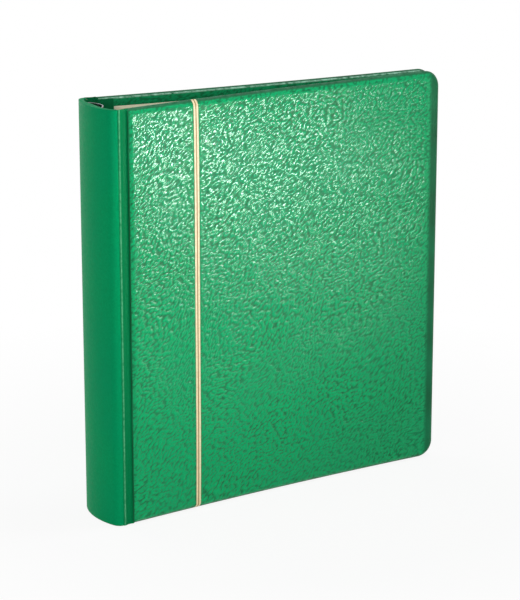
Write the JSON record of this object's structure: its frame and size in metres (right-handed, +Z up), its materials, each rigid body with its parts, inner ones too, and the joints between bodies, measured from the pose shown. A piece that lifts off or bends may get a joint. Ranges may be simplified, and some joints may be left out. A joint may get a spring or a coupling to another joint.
{
  "type": "stamp album",
  "caption": "Padded leatherette ring album for stamps, standing closed: two hinged covers, rounded spine, opening ring mechanism with release lever, and punched leaves that turn.",
  "frame": {"origin": "centre of the album's box on the surface that it stands on, closed and upright", "axes": "+X from the spine to the fore-edge, +Y from the front cover to the back cover, +Z up"},
  "size_m": [0.3021, 0.0578, 0.317],
  "materials": {
    "leatherette": "semi-gloss pebbled grain",
    "lining": "matt",
    "greyboard": "matt",
    "foam": "soft matt",
    "gold_foil": "satin foil",
    "housing_steel": "nickel-plated satin",
    "bright_steel": "bright nickel plate",
    "leaf_card": "matt cream card"
  },
  "bodies": {
    "spine": {"spine_board": "greyboard", "spine_skin": "leatherette", "spine_lining": "lining", "mechanism_housing": "housing_steel", "housing_rivets": "bright_steel", "lever_pin": "housing_steel"},
    "front_cover": {"front_board": "greyboard", "front_padding": "foam", "front_skin": "leatherette", "front_lining": "lining", "front_hinge_strip": "leatherette", "gold_lines": "gold_foil"},
    "back_cover": {"back_board": "greyboard", "back_padding": "foam", "back_skin": "leatherette", "back_lining": "lining", "back_hinge_strip": "leatherette"},
    "front_rings": {"toggle_plate_front": "housing_steel", "half_rings_front": "bright_steel"},
    "back_rings": {"toggle_plate_back": "housing_steel", "half_rings_back": "bright_steel"},
    "lever": {"release_lever": "bright_steel"},
    "front_leaves": {"leaf_1": "leaf_card", "leaf_2": "leaf_card"},
    "middle_leaves": {"leaf_3": "leaf_card", "leaf_4": "leaf_card"},
    "back_leaves": {"leaf_5": "leaf_card", "leaf_6": "leaf_card"}
  },
  "joints": [
    {"name": "front_cover_hinge", "type": "hinge", "parent": "spine", "child": "front_cover", "pos_m": [-0.139, -0.0275, 0.1585], "axis": [0, 0, -1], "range_deg": [0, 165]},
    {"name": "back_cover_hinge", "type": "hinge", "parent": "spine", "child": "back_cover", "pos_m": [-0.139, 0.0275, 0.1585], "axis": [0, 0, 1], "range_deg": [0, 165]},
    {"name": "front_rings_opening", "type": "hinge", "parent": "spine", "child": "front_rings", "pos_m": [-0.14398, -0.00907, 0.1585], "axis": [0, 0, -1], "range_deg": [0, 6]},
    {"name": "back_rings_opening", "type": "hinge", "parent": "spine", "child": "back_rings", "pos_m": [-0.14398, 0.00907, 0.1585], "axis": [0, 0, 1], "range_deg": [0, 6]},
    {"name": "lever_turn", "type": "hinge", "parent": "spine", "child": "lever", "pos_m": [-0.14208, 0, 0.0175], "axis": [0, 1, 0], "range_deg": [0, 24]},
    {"name": "front_leaves_turn", "type": "hinge", "parent": "spine", "child": "front_leaves", "pos_m": [-0.1275, 0, 0.1585], "axis": [0, 0, -1], "range_deg": [0, 82.5]},
    {"name": "middle_leaves_turn", "type": "hinge", "parent": "spine", "child": "middle_leaves", "pos_m": [-0.1275, 0, 0.1585], "axis": [0, 0, -1], "range_deg": [0, 33]},
    {"name": "back_leaves_turn", "type": "hinge", "parent": "spine", "child": "back_leaves", "pos_m": [-0.1275, 0, 0.1585], "axis": [0, 0, 1], "range_deg": [0, 82.5]}
  ],
  "couplings": [
    {"joint": "back_rings_opening", "follows": "front_rings_opening", "ratio": 1},
    {"joint": "lever_turn", "follows": "front_rings_opening", "ratio": 4},
    {"joint": "front_leaves_turn", "follows": "front_cover_hinge", "ratio": 0.5},
    {"joint": "middle_leaves_turn", "follows": "front_cover_hinge", "ratio": 0.2},
    {"joint": "back_leaves_turn", "follows": "back_cover_hinge", "ratio": 0.5}
  ]
}
